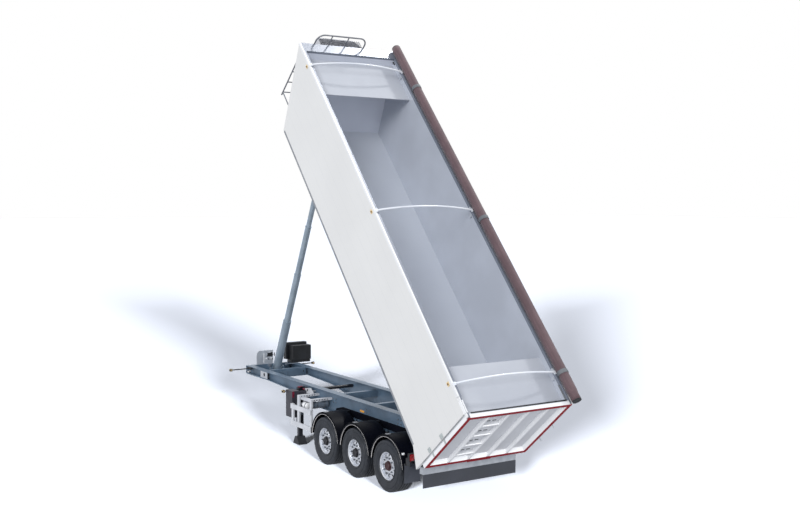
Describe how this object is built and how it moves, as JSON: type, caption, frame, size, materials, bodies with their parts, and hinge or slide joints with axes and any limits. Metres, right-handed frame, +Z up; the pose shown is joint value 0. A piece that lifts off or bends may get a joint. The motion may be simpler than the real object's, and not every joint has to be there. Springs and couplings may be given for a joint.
{
  "type": "tipping semi-trailer",
  "caption": "Tipping semi-trailer on air suspension with its smooth-sided bed raised by a front telescopic ram, rolled cover, top-hung tailgate and landing legs.",
  "frame": {"origin": "on the road under the middle of the trailer's length and width", "axes": "+X forwards to the coupling pin, +Y to the left, +Z up"},
  "size_m": [11.0913, 2.7099, 9.7328],
  "materials": {
    "chassis_paint": "satin slate paint",
    "white_paint": "gloss white paint",
    "bed_aluminium": "mill finish",
    "bare_aluminium": "satin anodised",
    "gate_paint": "gloss light paint",
    "ram_paint": "satin paint",
    "tarp_cloth": "coated cloth",
    "black_plastic": "moulded, glossy",
    "dark_panel": "moulded, matt",
    "flap_rubber": "moulded",
    "tyre_rubber": "rubber",
    "wheel_aluminium": "polished",
    "axle_paint": "satin black paint",
    "lamp_red": "moulded, glossy",
    "lamp_amber": "moulded, glossy",
    "spring_rubber": "moulded",
    "steel": "turned"
  },
  "bodies": {
    "chassis": {"chassis_rails": "chassis_paint", "cross_members": "chassis_paint", "skid_plate": "chassis_paint", "kingpin": "steel", "landing_legs": "chassis_paint", "landing_feet": "axle_paint", "axle_beams": "axle_paint", "suspension_arms": "axle_paint", "suspension_hangers": "chassis_paint", "air_springs": "spring_rubber", "fenders": "black_plastic", "fender_stays": "chassis_paint", "side_guards": "bare_aluminium", "extinguisher_box": "dark_panel", "rear_bumper": "bare_aluminium", "bumper_plate": "dark_panel", "mudflaps": "flap_rubber", "rear_lamps": "lamp_red", "valve_panels": "bare_aluminium", "equipment_box": "dark_panel", "stalk_lamps": "lamp_amber", "ram_cradle": "chassis_paint", "hinge_shaft": "steel"},
    "bed": {"bed_side_left": "white_paint", "bed_side_right": "white_paint", "bed_floor": "bed_aluminium", "bed_front": "bed_aluminium", "bed_shelves": "bare_aluminium", "bed_runners": "bed_aluminium", "bed_bearers": "bed_aluminium", "hinge_plates": "bare_aluminium", "top_rails": "white_paint", "tarp_hoops": "bare_aluminium", "tarp_roll": "tarp_cloth", "catwalk": "bare_aluminium", "front_ladder": "bare_aluminium", "ram_ears": "bare_aluminium"},
    "tailgate": {"tailgate": "gate_paint"},
    "ram_barrel": {"ram_barrel": "ram_paint"},
    "ram_stage_1": {"ram_stage_1": "ram_paint"},
    "ram_stage_2": {"ram_stage_2": "ram_paint"},
    "ram_stage_3": {"ram_stage_3": "ram_paint"},
    "ram_stage_4": {"ram_stage_4": "ram_paint"},
    "ram_stage_5": {"ram_stage_5": "ram_paint"},
    "wheel_left_1": {"tyre_left_1": "tyre_rubber", "rim_left_1": "wheel_aluminium"},
    "wheel_right_1": {"tyre_right_1": "tyre_rubber", "rim_right_1": "wheel_aluminium"},
    "wheel_left_2": {"tyre_left_2": "tyre_rubber", "rim_left_2": "wheel_aluminium"},
    "wheel_right_2": {"tyre_right_2": "tyre_rubber", "rim_right_2": "wheel_aluminium"},
    "wheel_left_3": {"tyre_left_3": "tyre_rubber", "rim_left_3": "wheel_aluminium"},
    "wheel_right_3": {"tyre_right_3": "tyre_rubber", "rim_right_3": "wheel_aluminium"}
  },
  "joints": [
    {"name": "bed_tip", "type": "hinge", "parent": "chassis", "child": "bed", "pos_m": [-3.286, 0, 1.25], "axis": [0, 1, 0], "range_deg": [0, 48.84]},
    {"name": "tailgate_swing", "type": "hinge", "parent": "bed", "child": "tailgate", "pos_m": [-5.32847, 0, 2.03138], "axis": [0, 1, 0], "range_deg": [0, 90]},
    {"name": "ram_tilt", "type": "hinge", "parent": "chassis", "child": "ram_barrel", "pos_m": [5.022, 0, 1.4], "axis": [0, 1, 0], "range_deg": [0, 48.33]},
    {"name": "ram_slide_1", "type": "slide", "parent": "ram_barrel", "child": "ram_stage_1", "axis": [-0.4317, 0, 0.902], "range_m": [-1.3741, 0]},
    {"name": "ram_slide_2", "type": "slide", "parent": "ram_stage_1", "child": "ram_stage_2", "axis": [-0.4317, 0, 0.902], "range_m": [-1.3741, 0]},
    {"name": "ram_slide_3", "type": "slide", "parent": "ram_stage_2", "child": "ram_stage_3", "axis": [-0.4317, 0, 0.902], "range_m": [-1.3741, 0]},
    {"name": "ram_slide_4", "type": "slide", "parent": "ram_stage_3", "child": "ram_stage_4", "axis": [-0.4317, 0, 0.902], "range_m": [-1.3741, 0]},
    {"name": "ram_slide_5", "type": "slide", "parent": "ram_stage_4", "child": "ram_stage_5", "axis": [-0.4317, 0, 0.902], "range_m": [-1.3741, 0]},
    {"name": "wheel_left_1_spin", "type": "hinge", "parent": "chassis", "child": "wheel_left_1", "pos_m": [-2.618, 1.0825, 0.536], "axis": [0, 1, 0], "continuous": true},
    {"name": "wheel_right_1_spin", "type": "hinge", "parent": "chassis", "child": "wheel_right_1", "pos_m": [-2.618, -1.0825, 0.536], "axis": [0, 1, 0], "continuous": true},
    {"name": "wheel_left_2_spin", "type": "hinge", "parent": "chassis", "child": "wheel_left_2", "pos_m": [-1.308, 1.0825, 0.536], "axis": [0, 1, 0], "continuous": true},
    {"name": "wheel_right_2_spin", "type": "hinge", "parent": "chassis", "child": "wheel_right_2", "pos_m": [-1.308, -1.0825, 0.536], "axis": [0, 1, 0], "continuous": true},
    {"name": "wheel_left_3_spin", "type": "hinge", "parent": "chassis", "child": "wheel_left_3", "pos_m": [0.002, 1.0825, 0.536], "axis": [0, 1, 0], "continuous": true},
    {"name": "wheel_right_3_spin", "type": "hinge", "parent": "chassis", "child": "wheel_right_3", "pos_m": [0.002, -1.0825, 0.536], "axis": [0, 1, 0], "continuous": true}
  ],
  "couplings": [
    {"joint": "ram_tilt", "follows": "bed_tip", "ratio": 0.98946},
    {"joint": "ram_slide_1", "follows": "bed_tip", "m_per_rad": -1.612},
    {"joint": "ram_slide_2", "follows": "bed_tip", "m_per_rad": -1.612},
    {"joint": "ram_slide_3", "follows": "bed_tip", "m_per_rad": -1.612},
    {"joint": "ram_slide_4", "follows": "bed_tip", "m_per_rad": -1.612},
    {"joint": "ram_slide_5", "follows": "bed_tip", "m_per_rad": -1.612}
  ]
}
